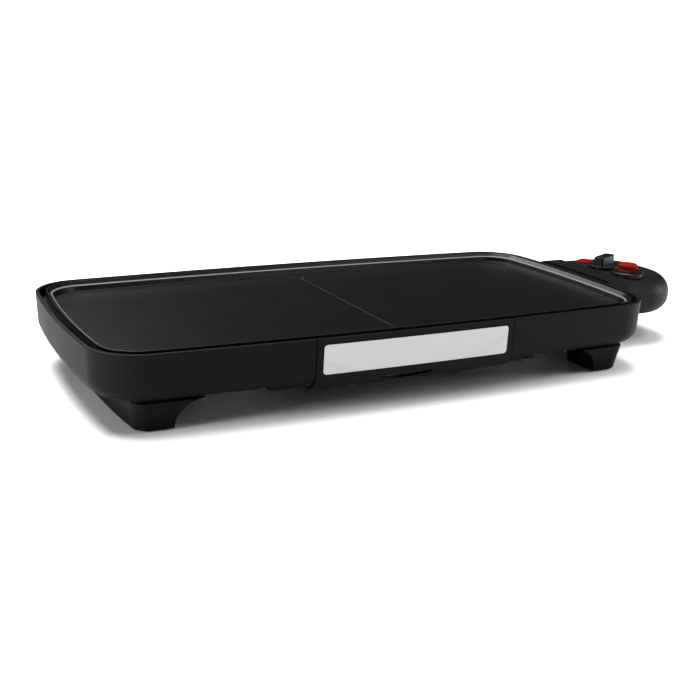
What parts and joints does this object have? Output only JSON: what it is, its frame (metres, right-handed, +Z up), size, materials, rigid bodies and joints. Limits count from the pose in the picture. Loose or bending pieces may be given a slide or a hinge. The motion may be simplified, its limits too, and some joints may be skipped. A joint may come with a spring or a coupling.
{
  "type": "electric griddle",
  "caption": "Electric table griddle: shallow coated plate in a bowed casing, drip drawer with metal front, corner feet, plug-in thermostat control with dial and red button.",
  "frame": {"origin": "below the middle of the whole object, on the surface that the feet's pads rest on", "axes": "+X along the length towards the control, -Y to the drawer front, +Z up"},
  "size_m": [0.6663, 0.2825, 0.0843],
  "materials": {
    "casing_plastic": "satin moulded black, slightly warm highlights",
    "tray_plastic": "satin moulded black, food safe",
    "control_plastic": "fine satin moulded black",
    "plate_coating": "dark non-stick coating with fine bright flecks on cast aluminium",
    "trim_metal": "satin anodised silver",
    "base_steel": "zinc plated sheet",
    "reflector_steel": "bright rolled sheet",
    "screw_steel": "zinc plated",
    "element_steel": "heat-darkened stainless",
    "contact_brass": "plain turned",
    "ceramic": null,
    "switch_plastic": "matt phenolic",
    "button_red": "glossy translucent orange red",
    "pilot_red": "glossy translucent orange red lens",
    "rubber_black": "matt"
  },
  "bodies": {
    "root": {"casing": "casing_plastic", "foot_rail_left": "casing_plastic", "foot_rail_right": "casing_plastic", "docking_collar": "casing_plastic", "drawer_runner_left": "casing_plastic", "drawer_runner_right": "casing_plastic", "foot_screws": "screw_steel", "base_screws": "screw_steel", "reflector_screws": "screw_steel", "runner_screws": "screw_steel", "collar_screws": "screw_steel", "base_pan": "base_steel", "reflector": "reflector_steel", "reflector_posts": "base_steel", "heating_element": "element_steel", "terminal_pins": "element_steel", "terminal_block": "ceramic", "element_cradles": "ceramic", "foot_pad_front_left": "rubber_black", "foot_pad_front_right": "rubber_black", "foot_pad_rear_left": "rubber_black", "foot_pad_rear_right": "rubber_black"},
    "griddle": {"griddle_plate": "plate_coating"},
    "drawer": {"drawer_front": "casing_plastic", "drawer_trim_plate": "trim_metal", "drawer_tray": "tray_plastic", "drawer_screws": "screw_steel"},
    "control_unit": {"control_upper_shell": "control_plastic", "control_lower_shell": "control_plastic", "shell_screws": "screw_steel", "contact_carrier": "ceramic", "contact_sleeves": "contact_brass", "sensor_probe": "element_steel", "thermostat_body": "switch_plastic", "button_collar": "control_plastic", "button_spring": "screw_steel", "microswitch": "switch_plastic", "pilot_lens": "pilot_red", "pilot_lamp": "switch_plastic", "cord_gland": "rubber_black", "cord_clamp": "switch_plastic"},
    "knob": {"temperature_knob": "control_plastic", "knob_shaft": "screw_steel"},
    "power_button": {"power_button": "button_red"}
  },
  "joints": [
    {"name": "drawer_slide", "type": "slide", "parent": "root", "child": "drawer", "axis": [0, -1, 0], "range_m": [0, 0.13]},
    {"name": "plate_lift", "type": "slide", "parent": "root", "child": "griddle", "axis": [0, 0, 1], "range_m": [0, 0.06]},
    {"name": "control_unplug", "type": "slide", "parent": "root", "child": "control_unit", "axis": [1, 0, 0], "range_m": [0, 0.085]},
    {"name": "knob_turn", "type": "hinge", "parent": "control_unit", "child": "knob", "pos_m": [0.26875, 0.007, 0.0705], "axis": [0, 0, -1], "range_deg": [0, 270]},
    {"name": "button_press", "type": "slide", "parent": "control_unit", "child": "power_button", "axis": [0, 0, -1], "range_m": [0, 0.0025], "stiffness_N_per_m": 400, "springref_m": -0.002, "deforming": ["button_spring"]}
  ]
}
